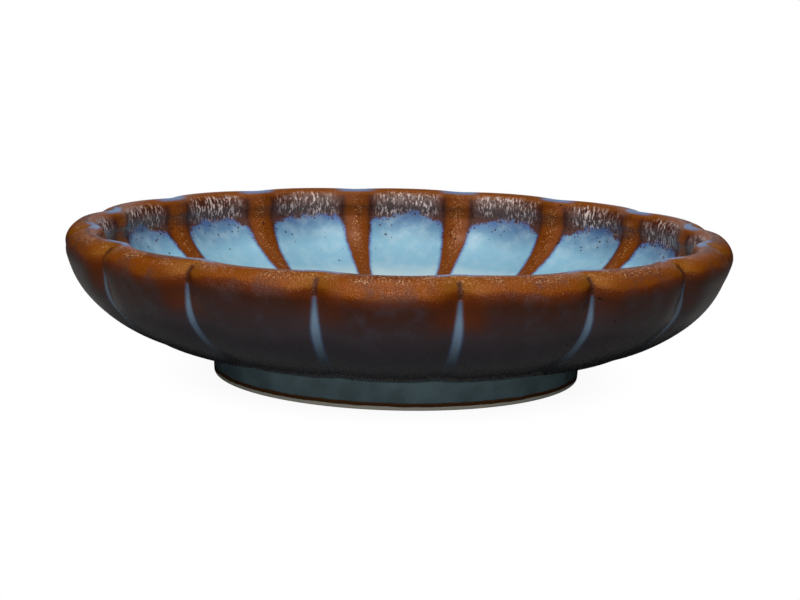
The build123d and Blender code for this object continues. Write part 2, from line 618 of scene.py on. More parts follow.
@dataclass(frozen=True)
class InsideGlaze:
    """The inner wall's glaze: blue panels below a furry fringe, whose pale hairs are partly painted highlight, with
    amber ribs between them.

    Levels are in millimetres along the wall from the lip's crest.
    """

    run: Run = (
        (0.0, Palette.RUST),
        (1.2, Palette.AMBER),
        (2.8, Palette.AMBER),
        (4.6, Palette.RUST),
        (7.0, Palette.MAUVE),
    )
    gilding: Veil = Veil(Palette.GOLD, Band(0.8, 3.5, 1.2))
    gilding_grain: Slope = Slope(0.55, 0.95)
    mottle_starts: Slope = Slope(6.0, 9.0)
    mottle_strength: float = 0.5
    # Partly the glaze's own pale hare's-fur hairs, partly a painted highlight of the key lamp on them.
    fur_and_highlight: Colour = tone(0.66, 0.53, 0.50)
    fur_band: Band = Band(4.5, 10.5, 3.0)
    fur_side: Slope = Slope(0.30, 0.78, 1.0, 0.0)
    fur_gaps: Slope = Slope(0.50, 0.42, 0.0, 0.75)
    hairs_and_highlights_level: Slope = Slope(0.52, 0.60)
    hairs_and_highlights_patches: Slope = Slope(0.34, 0.56)
    panel_starts: float = 10.8
    panel_run: Run = (
        (panel_starts, tone(0.04, 0.085, 0.215)),
        (25.0, tone(0.22, 0.44, 0.595)),
        (36.0, tone(0.22, 0.44, 0.595)),
        (50.0, tone(0.58, 0.73, 0.76)),
        (76.0, tone(0.64, 0.75, 0.77)),
    )
    panel_swing: float = 7.0
    panel_shoulder: float = 9.5
    panel_fray: Fray = Fray(0.35, 17.0)
    heart_rise: float = 0.4
    heart_fray: Fray = Fray(2.4, 3.0)
    milk: Colour = tone(0.50, 0.66, 0.73)
    milk_patches: Slope = Slope(0.40, 0.72, 0.0, 0.26)
    rib_side: Slope = Slope(2.0, 46.0, 0.66, 0.82)
    rib_edge: float = 0.05
    rib_fray: Slope = Slope(8.0, 30.0, 0.55, 0.16)
    rib_starts: Slope = Slope(2.5, 6.0)
    rib_ends: Slope = Slope(66.0, 75.0, 1.0, 0.0)
    shore_width: float = 0.06
    shore_fray: Fray = Fray(0.10, 0.2)
    glow_grain: Slope = Slope(0.0, 1.0, 0.45, 1.0)
    core_side: Slope = Slope(0.70, 0.84)
    # Painted highlight: pale gold sparks along each rib, where the lamps' glints fall on the crystals.
    spark_grain: Slope = Slope(0.80, 1.0)
    spark_side: Slope = Slope(0.84, 0.95)
    spark_strength: float = 0.7

    def colour(self, at: GlazeReadings) -> Socket:
        """Colours the inner wall and the floor.

        Args:
            at: The places and noises that the glaze is read from.

        Returns:
            The colour.
        """
        graph, depth, across = at.graph, at.depth, at.across
        colour = graph.ramp(depth, self.run)
        colour = graph.veil(colour, depth, self.gilding, graph.rise(at.crystal, *self.gilding_grain))
        mottle = graph.times(at.crystal, self.mottle_strength, graph.rise(depth, *self.mottle_starts))
        colour = graph.mix(mottle, colour, Palette.MAROON)
        fur_and_highlight = graph.times(graph.band(depth, *self.fur_band), graph.rise(across, *self.fur_side))
        colour = graph.lay(colour, Palette.MAROON, fur_and_highlight, graph.rise(at.hair, *self.fur_gaps))
        # Pale hairs: the glaze's hare's fur, brightened with the key lamp's painted highlight.
        hairs_and_highlights = graph.times(graph.rise(at.hair, *self.hairs_and_highlights_level), graph.rise(at.cloud, *self.hairs_and_highlights_patches))
        colour = graph.lay(colour, self.fur_and_highlight, fur_and_highlight, hairs_and_highlights)
        return self.panel(at, colour)

    def panel(self, at: GlazeReadings, colour: Socket) -> Socket:
        """Lays the blue panels over the wall's colour, and then the ribs.

        Args:
            at: The places and noises that the glaze is read from.
            colour: The wall's colour.

        Returns:
            The colour with its panels and ribs.
        """
        graph, depth = at.graph, at.depth
        swing = at.swing(self.panel_swing)
        shoulder = graph.times(graph.math("POWER", at.across, 2.0), self.panel_shoulder)
        level = graph.plus(shoulder, swing, self.panel_starts)
        panel = at.above(depth, level, self.panel_fray, at.grain)
        heart = at.above(depth, graph.minus(level, self.heart_rise), self.heart_fray, at.hair)
        body = graph.ramp(graph.minus(depth, swing), self.panel_run)
        body = graph.mix(graph.rise(at.patch, *self.milk_patches), body, self.milk)
        colour = graph.mix(panel, colour, graph.mix(heart, Palette.EDGE_BLUE, body))
        return self.rib(at, colour, panel)

    def rib(self, at: GlazeReadings, colour: Socket, panel: Socket) -> Socket:
        """Lays the amber ribs, with painted highlight sparks, and their blue shores over the panels.

        Args:
            at: The places and noises that the glaze is read from.
            colour: The colour of the wall and its panels.
            panel: The panels' mask.

        Returns:
            The colour with its ribs.
        """
        graph, depth, across, crystal = at.graph, at.depth, at.across, at.crystal
        side = graph.rise(depth, *self.rib_side)
        rib = at.above(across, side, Fray(self.rib_edge, graph.rise(depth, *self.rib_fray)), at.grain)
        shore = at.above(across, graph.minus(side, self.shore_width), self.shore_fray, at.grain)
        alive = graph.rise(depth, *self.rib_ends)
        colour = graph.lay(colour, Palette.EDGE_BLUE, shore, alive, panel)
        glow = graph.mix(graph.rise(crystal, *self.glow_grain), Palette.RUST, Palette.AMBER)
        core = graph.mix(graph.rise(across, *self.core_side), Palette.MAROON, glow)
        # Painted highlight: sparks of the lamps' glints along the rib.
        painted_spark = graph.times(graph.rise(crystal, *self.spark_grain), graph.rise(across, *self.spark_side))
        core = graph.lay(core, Palette.PAINTED_GLINT, painted_spark, self.spark_strength)
        return graph.lay(colour, core, rib, alive, graph.rise(depth, *self.rib_starts))


@dataclass(frozen=True)
class FlowingGlaze:
    """The bowl's glaze: amber where it runs thin, blue where it pools. Levels are as the readings give them."""

    outside: OutsideGlaze = OutsideGlaze()
    inside: InsideGlaze = InsideGlaze()
    turn_inward: Slope = Slope(-0.6, 0.6)
    crest_blue: Veil = Veil(tone(0.13, 0.19, 0.34), Band(-0.6, 1.4, 1.3))
    crest_side: Slope = Slope(0.55, 0.80)
    freckle_count: float = 900.0
    freckle_size: float = 0.60
    freckle_rarity: Slope = Slope(10.0, 24.0, 0.55, 0.97)
    freckles: Veil = Veil(Palette.MAROON, Band(10.0, 26.0, 4.0), 0.9)
    pinholes: Pits = Pits(210.0, 0.16, 0.80)
    pit: Colour = tone(0.008, 0.004, 0.003)
    underside: Slope = Slope(-70.0, -68.0, 1.0, 0.0)
    clay_radius: Slope = Slope(56.0, 57.5, 1.0, 0.0)
    tuft_band: Band = Band(4.5, 10.5, 2.5)
    tuft_side: Slope = Slope(0.35, 0.80, 1.0, 0.0)
    dry_band: Band = Band(-9.0, 12.0, 5.0)
    tint: float = 0.80
    tint_on_tuft: float = 0.1
    tint_gain: float = 3.2
    roughness: float = 0.20
    roughness_dry: float = 0.12
    roughness_crystal: float = 0.08
    roughness_inside: Slope = Slope(9.0, 16.0, 0.0, 0.20)
    roughness_tuft: float = -0.22
    roughness_clay: float = 0.88
    coat: float = 0.03
    coat_on_tuft: float = 0.9
    relief_depth: float = 0.45 * MM
    relief_ends: Slope = Slope(-48.0, -30.0)
    relief_peel: float = 0.12
    relief_crust: float = 0.22
    relief_pits: float = -0.5
    relief_hair: float = 0.9
    relief_clay: float = 0.4

    def make(self, effects: Effects) -> bpy.types.Material:
        """Makes the bowl's material.

        Args:
            effects: The shared effects.

        Returns:
            The material.
        """
        constants = {"IOR": 1.52, "Coat Roughness": 0.2, "Coat IOR": 1.5}
        material, graph, shader = new_finish("flowing_glaze", constants)
        at = GlazeReadings(graph, effects)
        depth, sockets = at.depth, shader.inputs
        pits = effects.pits(graph, at.place, *self.pinholes)
        clay = effects.clay(graph, at.place)
        bare = graph.times(
            graph.rise(depth, *self.underside), graph.rise(graph.off_axis(at.place), *self.clay_radius)
        )
        tuft = graph.times(graph.band(depth, *self.tuft_band), graph.rise(at.across, *self.tuft_side))
        dry = graph.band(depth, *self.dry_band)
        colour = graph.mix(pits, self.colour(at), self.pit)
        graph.put(sockets["Base Color"], graph.mix(bare, colour, clay["Color"]))
        tinted = graph.vector("MINIMUM", graph.vector("SCALE", colour, self.tint_gain), WHITE[:3])
        strength = graph.blend(tuft, self.tint, self.tint_on_tuft)
        graph.put(sockets["Specular Tint"], graph.mix(strength, WHITE, tinted))
        gloss = graph.plus(
            self.roughness,
            graph.times(dry, self.roughness_dry),
            graph.times(at.crystal, self.roughness_crystal),
            graph.rise(depth, *self.roughness_inside),
            graph.times(tuft, self.roughness_tuft),
        )
        graph.put(sockets["Roughness"], graph.blend(bare, gloss, self.roughness_clay))
        graph.put(sockets["Coat Weight"], graph.blend(tuft, self.coat, self.coat_on_tuft))
        relief = graph.plus(
            graph.times(at.cloud, self.relief_peel),
            graph.times(at.crystal, dry, self.relief_crust),
            graph.times(pits, self.relief_pits),
            graph.times(tuft, at.hair, self.relief_hair),
        )
        relief = graph.times(relief, graph.rise(depth, *self.relief_ends))
        grit = graph.times(clay["Height"], bare, self.relief_clay)
        add_bump(graph, shader, graph.plus(relief, grit), self.relief_depth)
        return material

    def colour(self, at: GlazeReadings) -> Socket:
        """Colours both sides of the wall, and the lip's crest between them.

        Args:
            at: The places and noises that the glaze is read from.

        Returns:
            The colour, without pits or bare clay.
        """
        graph, depth = at.graph, at.depth
        colour = graph.mix(graph.rise(depth, *self.turn_inward), self.outside.colour(at), self.inside.colour(at))
        colour = graph.veil(colour, depth, self.crest_blue, graph.rise(at.across, *self.crest_side))
        rarity = graph.rise(depth, *self.freckle_rarity)
        freckles = at.effects.pits(graph, at.place, self.freckle_count, self.freckle_size, rarity)
        return graph.veil(colour, depth, self.freckles, freckles)


@dataclass(frozen=True)
class DarkGlaze:
    """The foot's glaze: dark teal, thin and rusty along its lower edge, with bare clay below. Levels in millimetres."""

    teal: Colour = tone(0.145, 0.215, 0.235)
    slate: Colour = tone(0.10, 0.145, 0.16)
    rust: Colour = tone(0.095, 0.036, 0.010)
    # Partly a pale bead of glaze where the foot meets the bowl, partly a painted highlight along that junction.
    bead_and_highlight: Colour = tone(0.34, 0.35, 0.30)
    # The pale unglazed band on the foot's outer lower edge, made much paler than the bare clay elsewhere: painted light
    # that stands in for the lamps there.
    lit_pale_clay: Colour = tone(0.80, 0.74, 0.62)
    cloud: Noise = Noise(90.0, 3.0, 0.55, 21.0)
    cloud_level: Slope = Slope(0.35, 0.65)
    ripple: Noise = Noise(160.0, 2.0, 0.5, 22.0)
    line_height: float = 1.15
    line_fray: Fray = Fray(0.25, 0.8)
    rust_height: float = 1.0
    rust_fray: Fray = Fray(0.7, 1.0)
    outer_radius: Slope = Slope(58.2, 59.0)
    pinholes: Pits = Pits(230.0, 0.14, 0.85)
    bead_height: Slope = Slope(9.25, 9.55, 0.0, 0.8)
    lit_pale_clay_strength: float = 0.7
    roughness: float = 0.16
    roughness_clay: float = 0.9
    coat: float = 0.4
    relief_depth: float = 0.30 * MM
    relief_clay: float = 0.3
    relief_glaze: float = 0.5
    relief_pits: float = -0.3
    relief_cloud: float = 0.2

    def make(self, effects: Effects) -> bpy.types.Material:
        """Makes the foot's material.

        Args:
            effects: The shared effects.

        Returns:
            The material.
        """
        constants = {"IOR": 1.52, "Coat Roughness": 0.08, "Coat IOR": 1.5}
        material, graph, shader = new_finish("dark_glaze", constants)
        place, sockets = graph.place(), shader.inputs
        height = graph.times(graph.part(place, 2), 1.0 / MM)
        cloud, ripple = graph.noise(place, *self.cloud), graph.noise(place, *self.ripple)
        outer = graph.rise(graph.off_axis(place), *self.outer_radius)
        glazed = graph.times(effects.above(graph, height, self.line_height, self.line_fray, ripple), outer)
        thick = effects.above(graph, height, self.line_height + self.rust_height, self.rust_fray, ripple)
        clay = effects.clay(graph, place)
        pits = effects.pits(graph, place, *self.pinholes)
        coat = graph.mix(graph.rise(cloud, *self.cloud_level), self.slate, self.teal)
        coat = graph.mix(pits, graph.mix(thick, self.rust, coat), self.slate)
        # The pale bead at the foot's top: glaze bead and painted highlight.
        coat = graph.mix(graph.rise(height, *self.bead_height), coat, self.bead_and_highlight)
        # Painted light: the outer bare clay brightened as if lit.
        lit_pale_clay = graph.lay(clay["Color"], self.lit_pale_clay, outer, self.lit_pale_clay_strength)
        graph.put(sockets["Base Color"], graph.mix(glazed, lit_pale_clay, coat))
        graph.put(sockets["Roughness"], graph.blend(glazed, self.roughness_clay, self.roughness))
        graph.put(sockets["Coat Weight"], graph.times(glazed, self.coat))
        relief = graph.plus(
            graph.times(clay["Height"], self.relief_clay),
            graph.times(glazed, self.relief_glaze),
            graph.times(pits, self.relief_pits),
            graph.times(cloud, self.relief_cloud),
        )
        add_bump(graph, shader, relief, self.relief_depth)
        return material


@dataclass(frozen=True)
class MeshPlastic:
    """The screen's plastic: moulded black, matt, with a little mineral dust from watering."""

    plastic: Colour = tone(0.012, 0.012, 0.013)
    dust: Colour = tone(0.20, 0.18, 0.15)
    grain: Noise = Noise(2600.0, 2.0, 0.6, 31.0)
    cloud: Noise = Noise(150.0, 3.0, 0.6, 32.0)
    dusty: Slope = Slope(0.45, 0.75)
    dust_strength: float = 0.16
    specks: Pits = Pits(900.0, 0.35, 0.82)
    speck_strength: float = 0.5
    roughness: Slope = Slope(0.2, 0.8, 0.42, 0.62)
    relief_depth: float = 0.06 * MM

    def make(self, effects: Effects) -> bpy.types.Material:
        """Makes the screen's material.

        Args:
            effects: The shared effects.

        Returns:
            The material.
        """
        material, graph, shader = new_finish("mesh_plastic", {"IOR": 1.49})
        place = graph.place()
        cloud = graph.noise(place, *self.cloud)
        specks = effects.pits(graph, place, *self.specks)
        colour = graph.lay(self.plastic, self.dust, graph.rise(cloud, *self.dusty), self.dust_strength)
        graph.put(shader.inputs["Base Color"], graph.lay(colour, self.dust, specks, self.speck_strength))
        graph.put(shader.inputs["Roughness"], graph.rise(cloud, *self.roughness))
        add_bump(graph, shader, graph.noise(place, *self.grain), self.relief_depth)
        return material


@dataclass(frozen=True)
class AnodisedWire:
    """The clip's wire: soft aluminium, anodised brown, rubbed bright in places."""

    brown: Colour = tone(0.24, 0.105, 0.05)
    dark: Colour = tone(0.13, 0.055, 0.03)
    bright: Colour = tone(0.62, 0.56, 0.50)
    cloud: Noise = Noise(260.0, 3.0, 0.6, 41.0)
    cloud_level: Slope = Slope(0.35, 0.70)
    drawn: Noise = Noise(5200.0, 2.0, 0.6, 42.0)
    drawn_stretch: tuple[float, float, float] = (0.12, 1.0, 1.0)
    nicks: Pits = Pits(700.0, 0.30, 0.86)
    roughness: Slope = Slope(0.2, 0.8, 0.28, 0.44)
    relief_depth: float = 0.03 * MM

    def make(self, effects: Effects) -> bpy.types.Material:
        """Makes the wire's material.

        Args:
            effects: The shared effects.

        Returns:
            The material.
        """
        material, graph, shader = new_finish("anodised_wire", {"Metallic": 1.0})
        place = graph.place()
        drawn = graph.noise(graph.vector("MULTIPLY", place, self.drawn_stretch), *self.drawn)
        colour = graph.mix(graph.rise(graph.noise(place, *self.cloud), *self.cloud_level), self.dark, self.brown)
        nicks = effects.pits(graph, place, *self.nicks)
        graph.put(shader.inputs["Base Color"], graph.mix(nicks, colour, self.bright))
        graph.put(shader.inputs["Roughness"], graph.rise(drawn, *self.roughness))
        add_bump(graph, shader, drawn, self.relief_depth)
        return material


# ---------------------------------------------------------------------------
# Studio
# ---------------------------------------------------------------------------


@dataclass(frozen=True)
class Softbox:
    """One large soft lamp that points at the pot. Angles are in degrees, lengths in metres."""

    name: str
    side: float
    elevation: float
    distance: float
    width: float
    height: float
    power: float
    colour: Colour = WHITE
    mirrored: bool = True

    def make(self, aim: Vector) -> bpy.types.Object:
        """Makes the lamp.

        Args:
            aim: The point that it faces.

        Returns:
            The lamp's object.
        """
        data = bpy.data.lights.new(self.name, "AREA")
        data.shape = "RECTANGLE"
        data.size = self.width
        data.size_y = self.height
        data.energy = self.power
        data.color = self.colour[:3]
        lamp = bpy.data.objects.new(self.name, data)
        side, elevation = math.radians(self.side), math.radians(self.elevation)
        level = math.cos(elevation)
        outward = Vector((math.sin(side) * level, -math.cos(side) * level, math.sin(elevation)))
        lamp.location = aim + outward * self.distance
        lamp.rotation_euler = outward.to_track_quat("Z", "Y").to_euler()
        lamp.visible_camera = False
        lamp.visible_glossy = self.mirrored
        bpy.context.scene.collection.objects.link(lamp)
        return lamp


@dataclass(frozen=True)
class Studio:
    """A pale floor, a white surround and the softboxes. Angles are in degrees, lengths in metres."""

    floor_reach: float = 12.0
    floor_bounce: Colour = tone(0.15, 0.15, 0.15)
    # Painted shadow: how much the white that the camera sees is dimmed round the pot.
    shade: float = 0.07
    painted_shadow_reach: Slope = Slope(0.05, 0.085, 1.0, 0.0)
    room_light: Colour = tone(0.014, 0.014, 0.014)
    aim: tuple[float, float, float] = (0.0, 0.0, 0.03)
    softboxes: tuple[Softbox, ...] = (
        Softbox("key", -4.0, 38.0, distance=1.2, width=0.30, height=0.26, power=10.6),
        Softbox("overhead", 0.0, 82.0, distance=1.0, width=0.26, height=0.14, power=4.6, colour=WARM),
        Softbox("low_front", 0.0, -1.0, distance=1.3, width=0.5, height=0.14, power=7.0, colour=COOL, mirrored=False),
        Softbox("rim", 180.0, 16.0, distance=1.3, width=0.8, height=0.20, power=0.9, colour=BLUE),
        Softbox("back_fill", 180.0, 30.0, distance=1.3, width=0.8, height=0.50, power=5.0, mirrored=False),
    )

    def make_surround(self) -> None:
        """Makes the world: white where the camera sees it, dim where the pot reflects it."""
        world = bpy.data.worlds.new("surround")
        world.use_nodes = True
        world.node_tree.nodes.clear()
        graph = Graph(world.node_tree)
        seen = graph.add("ShaderNodeLightPath").outputs["Is Camera Ray"]
        colour = graph.mix(seen, self.room_light, WHITE)
        background = graph.add("ShaderNodeBackground", {"Color": colour})
        graph.add("ShaderNodeOutputWorld", {"Surface": background.outputs[0]})
        bpy.context.scene.world = world

    def make_floor(self) -> bpy.types.Object:
        """Makes the floor: white where the camera sees it, with a faint shadow painted round the pot.

        Returns:
            The floor's object.
        """
        mesh = bpy.data.meshes.new("floor")
        reach = self.floor_reach
        corners = [(-reach, -reach, 0.0), (reach, -reach, 0.0), (reach, reach, 0.0), (-reach, reach, 0.0)]
        mesh.from_pydata(corners, [], [(0, 1, 2, 3)])
        material = bpy.data.materials.new("studio_floor")
        material.use_nodes = True
        material.node_tree.nodes.clear()
        graph = Graph(material.node_tree)
        # Painted shadow: the camera's white is dimmed within a ring round the pot.
        near = graph.rise(graph.vector("LENGTH", graph.place()), *self.painted_shadow_reach)
        brightness = graph.minus(1.0, graph.times(near, self.shade))
        seen = graph.add("ShaderNodeLightPath").outputs["Is Camera Ray"]
        white = graph.add("ShaderNodeEmission", {"Color": WHITE, "Strength": brightness})
        matt = graph.add("ShaderNodeBsdfDiffuse", {"Color": self.floor_bounce})
        both = graph.add("ShaderNodeMixShader", {0: seen, 1: matt.outputs[0], 2: white.outputs[0]})
        graph.add("ShaderNodeOutputMaterial", {"Surface": both.outputs[0]})
        mesh.materials.append(material)
        floor = bpy.data.objects.new("floor", mesh)
        bpy.context.scene.collection.objects.link(floor)
        return floor

    def make(self) -> None:
        """Makes the whole set."""
        self.make_surround()
        self.make_floor()
        for softbox in self.softboxes:
            softbox.make(Vector(self.aim))
        bpy.context.scene.view_settings.view_transform = "Standard"
        log.info("studio: %d softboxes", len(self.softboxes))


@dataclass(frozen=True)
class Camera:
    """A long lens that looks slightly down at the pot's front. Angles are in degrees, lengths in metres."""

    side: float = 1.55
    elevation: float = 9.88
    roll: float = 1.47
    distance: float = 0.7
    aim_right: float = 0.0008
    aim_height: float = 0.024
    lens: float = 94.7
    sensor: float = 36.0
    nearest: float = 0.05

    def make(self) -> None:
        """Makes the camera and looks through it."""
        data = bpy.data.cameras.new("camera")
        data.lens = self.lens
        data.sensor_width = self.sensor
        data.clip_start = self.nearest
        camera = bpy.data.objects.new("camera", data)
        elevation, roll = math.radians(self.elevation), math.radians(self.roll)
        level, rise = math.cos(elevation), math.sin(elevation)
        turn = Matrix.Rotation(math.radians(self.side), 3, "Z")
        forward = turn @ Vector((0.0, level, -rise))
        right = turn @ Vector((1.0, 0.0, 0.0))
        up = right.cross(forward)
        tipped_right = right * math.cos(roll) + up * math.sin(roll)
        tipped_up = up * math.cos(roll) - right * math.sin(roll)
        place = turn @ Vector((self.aim_right, 0.0, self.aim_height)) - forward * self.distance
        frame_of_view = Matrix((tipped_right, tipped_up, -forward)).transposed()
        camera.matrix_world = Matrix.Translation(place) @ frame_of_view.to_4x4()
        bpy.context.scene.collection.objects.link(camera)
        bpy.context.scene.camera = camera
        log.info("camera: %.0f mm lens, %.2f m away", self.lens, self.distance)


# ---------------------------------------------------------------------------
# Bowl
# ---------------------------------------------------------------------------


@dataclass(frozen=True)
class Lobes:
    """The lobes in plan: how many there are, and how each is divided into columns, bunched at its grooves."""

    count: int = 16
    columns: int = 24
    bunching: float = 0.6


@dataclass(frozen=True)
class Wall:
    """A closed profile: each row's radius and height on a lobe's crest, and how a groove or rib moves it. Metres."""

    place: np.ndarray
    push: np.ndarray
    softness: np.ndarray
    narrowness: np.ndarray
    along: np.ndarray

    def mesh(self, name: str) -> bpy.types.Mesh:
        """Puts the rows into a mesh of loose points with named attributes.

        Args:
            name: The mesh's name.

        Returns:
            The mesh.
        """
        mesh = bpy.data.meshes.new(name)
        count = len(self.place)
        mesh.vertices.add(count)
        flat = np.zeros((count, 3), np.float32)
        flat[:, 0], flat[:, 2] = self.place.T
        mesh.vertices.foreach_set("co", flat.ravel())
        flat[:, 0], flat[:, 2] = self.push.T
        mesh.attributes.new("push", "FLOAT_VECTOR", "POINT").data.foreach_set("vector", flat.ravel())
        numbers = {"softness": self.softness, "narrowness": self.narrowness, "along": self.along}
        for label, values in numbers.items():
            attribute = mesh.attributes.new(label, "FLOAT", "POINT")
            attribute.data.foreach_set("value", values.astype(np.float32))
        return mesh


def measure(points: np.ndarray) -> np.ndarray:
    """The length along a line of points, from its first point to each."""
    return np.concatenate([[0.0], np.cumsum(np.linalg.norm(np.diff(points, axis=0), axis=1))])


def length_from_top(points: np.ndarray) -> np.ndarray:
    """The length along a line of points from its highest point: negative before it, positive after."""
    length = measure(points)
    return length - length[int(np.argmax(points[:, 1]))]


def smooth_step(value: np.ndarray, low: float, high: float) -> np.ndarray:
    """0 at low, 1 at high, and smooth between them."""
    share = np.clip((value - low) / (high - low), 0.0, 1.0)
    return share * share * (3.0 - 2.0 * share)


@dataclass(frozen=True)
class BowlProfile:
    """The bowl's wall, cut through a lobe's crest: quarter ellipses outside and inside, joined by a round lip.

    Millimetres and degrees. The places where something starts or ends are lengths along the wall from the lip's crest.
    """

    rim_radius: float = 110.0
    height: float = 49.0
    centre_radius: float = 55.0
    centre_height: float = 46.2
    underside: float = 9.9
    underside_radius: float = 63.0
    lip_outside: float = 6.6
    lip_inside: float = 4.2
    lip_rise: float = 7.0
    wall_thickness: float = 8.4
    floor_radius: float = 49.5
    floor_height: float = 17.1
    drain_radius: float = 11.0
    drain_edge: float = 1.2
    outer_ends: float = 11.0
    lip_turn: tuple[float, float] = (4.0, 176.0)
    inner_starts: float = 12.0
    groove_depth: float = 4.2
    groove_least: float = 1.1
    groove_easing: float = 0.62
    groove_softness: float = 0.05
    groove_softening: float = 0.10
    groove_narrowness: float = 8.0
    groove_widening: float = 3.0
    groove_fade: float = 5.0
    rib_height: float = 3.3
    rib_least: float = 0.8
    rib_softness: float = 0.09
    rib_narrowness: float = 2.4
    rib_fade: float = 8.0
    lip_reach: float = 5.0
    lip_ends: float = 11.0
    easing_starts: float = 8.0
    easing_ends: float = 25.0
    widening_ends: float = 21.0
    smoothing: float = 1.6
    blending: float = 7.0
    blending_starts: tuple[float, float] = (5.0, 9.0)
    blending_ends: tuple[float, float] = (14.0, 20.0)
    step: float = 0.05
    points: int = 400
    edge_points: int = 40
    normal_reach: int = 8
    row_at_lip: float = 0.5
    row_on_wall: float = 1.1
    row_on_flat: float = 5.1
    row_at_hole: float = 0.45

    def outer_wall(self) -> np.ndarray:
        """Draws the outer wall.

        Returns:
            Its points, from the underside up to the lip.
        """
        reach = self.rim_radius - self.centre_radius
        start = math.acos((self.underside_radius - self.centre_radius) / reach)
        drop = (self.centre_height - self.underside) / math.sin(start)
        turn = np.linspace(start, math.radians(self.outer_ends), self.points)
        return np.stack([self.centre_radius + reach * np.cos(turn), self.centre_height - drop * np.sin(turn)], 1)

    def lip(self) -> np.ndarray:
        """Draws the rounded lip.

        Returns:
            Its points, from its outer side over its crest to its inner side.
        """
        middle = self.rim_radius - self.lip_outside
        turn = np.radians(np.linspace(*self.lip_turn, self.points))
        reach = np.where(turn < math.pi / 2, self.lip_outside, self.lip_inside)
        across = middle + reach * np.cos(turn)
        return np.stack([across, self.height - self.lip_rise + self.lip_rise * np.sin(turn)], 1)

    def inner_wall(self) -> np.ndarray:
        """Draws the inner wall.

        Returns:
            Its points, from the lip down to the floor.
        """
        reach = self.rim_radius - self.wall_thickness - self.floor_radius
        drop = self.centre_height - self.floor_height
        turn = np.linspace(math.radians(self.inner_starts), math.pi / 2, self.points)
        return np.stack([self.floor_radius + reach * np.cos(turn), self.centre_height - drop * np.sin(turn)], 1)

    def drain(self) -> list[np.ndarray]:
        """Draws the drain hole, with rounded mouths.

        Returns:
            The points down its upper half, and those down its lower half.
        """
        edge, radius = self.drain_edge, self.drain_radius
        turn = np.linspace(0.0, math.pi / 2, self.edge_points)
        outward = radius + edge - edge * np.sin(turn)
        middle = [[radius, (self.floor_height + self.underside) / 2]]
        upper = np.stack([outward, self.floor_height - edge + edge * np.cos(turn)], 1)
        lower = np.stack([outward, self.underside + edge - edge * np.cos(turn)], 1)[::-1]
        return [np.concatenate([upper, middle]), np.concatenate([middle, lower])]

    def loop(self) -> np.ndarray:
        """The whole profile, evenly spaced and smoothed, most of all where the lip blends into the walls.

        Returns:
            The points from the middle of the drain hole round to it again.
        """
        upper, lower = self.drain()
        rough = np.concatenate([lower, self.outer_wall(), self.lip(), self.inner_wall(), upper])
        length = measure(rough)
        places = np.arange(0.0, length[-1], self.step)
        even = np.stack([np.interp(places, length, rough[:, axis]) for axis in (0, 1)], 1)
        away = np.abs(length_from_top(even))
        blend = smooth_step(away, *self.blending_starts) * (1.0 - smooth_step(away, *self.blending_ends))
        blend = blend[:, None]
        return self.soften(even, self.smoothing) * (1.0 - blend) + self.soften(even, self.blending) * blend

    def soften(self, loop: np.ndarray, reach: float) -> np.ndarray:
        """Rounds a closed loop.

        Args:
            loop: The loop's points, a step apart.
            reach: The length over which neighbours pull at a point.

        Returns:
            The loop with each point moved to the middle of its neighbours.
        """
        half = int(reach / self.step / 2)
        window = np.hanning(2 * half + 3)[1:-1]
        window /= window.sum()
        padded = np.concatenate([loop[-half:], loop, loop[:half]])
        return np.stack([np.convolve(padded[:, axis], window, "valid") for axis in (0, 1)], 1)

    def spacing(self, loop: np.ndarray, along: np.ndarray) -> np.ndarray:
        """Chooses how far apart the rows lie: close at the lip and the hole, wide on the flats.

        Args:
            loop: The profile's points.
            along: Each point's length along the wall from the lip's crest.

        Returns:
            The distance wanted between rows at each point.
        """
        radius = loop[:, 0]
        wall = self.row_at_lip + (self.row_on_wall - self.row_at_lip) * smooth_step(np.abs(along), 7.0, 14.0)
        flat_from = np.where(along > 0, self.floor_radius, self.underside_radius) - 2.0
        flat = smooth_step(flat_from - radius, 0.0, 6.0) * smooth_step(radius, self.drain_radius + 2.5, 20.0)
        hole = 1.0 - smooth_step(radius, self.drain_radius + 1.5, self.drain_radius + 5.0)
        return wall * (1.0 - hole) + self.row_at_hole * hole + (self.row_on_flat - self.row_on_wall) * flat

    def rows(self) -> Wall:
        """Places the rows and works out how the grooves and ribs move each of them.

        Returns:
            The wall, in metres.
        """
        loop = self.loop()
        along = length_from_top(loop)
        chosen = self.choose(loop, along)
        inward = smooth_step(along, -8.0, 8.0)
        over_top = smooth_step(along, -8.0, -1.0)
        below = smooth_step(-along, self.easing_starts, self.widening_ends)
        softness = self.groove_softness + (self.rib_softness - self.groove_softness) * inward
        narrowness = self.groove_narrowness + (self.rib_narrowness - self.groove_narrowness) * over_top
        return Wall(
            place=loop[chosen] * MM,
            push=self.push(loop, along, inward)[chosen] * MM,
            softness=(softness + self.groove_softening * below)[chosen],
            narrowness=(narrowness - self.groove_widening * below)[chosen],
            along=along[chosen] * MM,
        )

    def choose(self, loop: np.ndarray, along: np.ndarray) -> np.ndarray:
        """Chooses which of the profile's points become rows.

        Args:
            loop: The profile's points.
            along: Each point's length along the wall from the lip's crest.

        Returns:
            The numbers of the chosen points.
        """
        density = np.concatenate([[0.0], np.cumsum(self.step / self.spacing(loop, along)[1:])])
        count = int(round(density[-1]))
        chosen = np.interp(np.linspace(0.0, density[-1], count, endpoint=False), density, np.arange(len(loop)))
        return np.round(chosen).astype(int)

